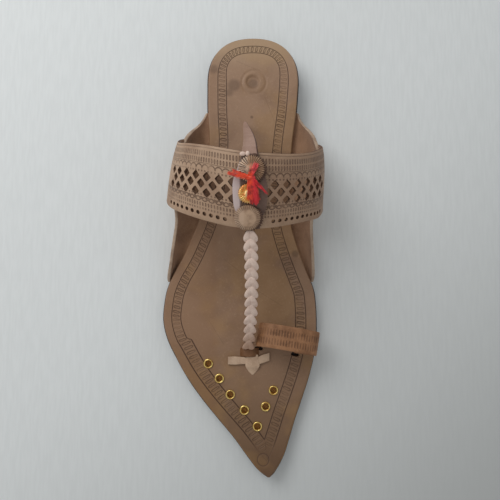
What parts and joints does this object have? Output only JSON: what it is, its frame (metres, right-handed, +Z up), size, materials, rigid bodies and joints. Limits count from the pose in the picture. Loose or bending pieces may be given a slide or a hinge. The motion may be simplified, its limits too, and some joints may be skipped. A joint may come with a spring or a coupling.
{
  "type": "kolhapuri sandal",
  "caption": "Right-foot leather sandal with a punched instep band on two side ears, a braided strap to the toes, a big-toe loop, a pointed tooled insole and a low heel.",
  "frame": {"origin": "on the floor under the centre of the heel", "axes": "+Z up, +Y towards the back of the heel, -Y towards the toe, +X towards the inner side of the right foot, where the big toe is"},
  "size_m": [0.1071, 0.3, 0.0912],
  "materials": {
    "outsole_leather": "dark stained and burnished edge, matt underside",
    "insole_leather": "vegetable tanned, worn, tooled, satin",
    "band_leather": "vegetable tanned, punched and stamped, satin",
    "pale_leather": "pale undyed goat leather, matt",
    "loop_leather": "warm tan, stamped, satin",
    "rosette_leather": "brown, pinked rim, satin",
    "gilt_metal": "gilt, fluted, tarnished",
    "red_thread": "twisted cotton thread",
    "brass": "old brass, satin"
  },
  "bodies": {
    "root": {"outsole": "outsole_leather", "heel": "outsole_leather", "insole": "insole_leather", "upper": "band_leather", "centre_strap": "pale_leather", "toe_loop": "loop_leather", "thong_toggle": "loop_leather", "thong_end": "insole_leather", "rosette_front": "rosette_leather", "rosette_rear": "rosette_leather", "gold_disc": "gilt_metal", "tassel": "red_thread", "eyelet_1": "brass", "eyelet_2": "brass", "eyelet_3": "brass", "eyelet_4": "brass", "eyelet_5": "brass", "eyelet_6": "brass", "eyelet_7": "brass"}
  },
  "joints": []
}
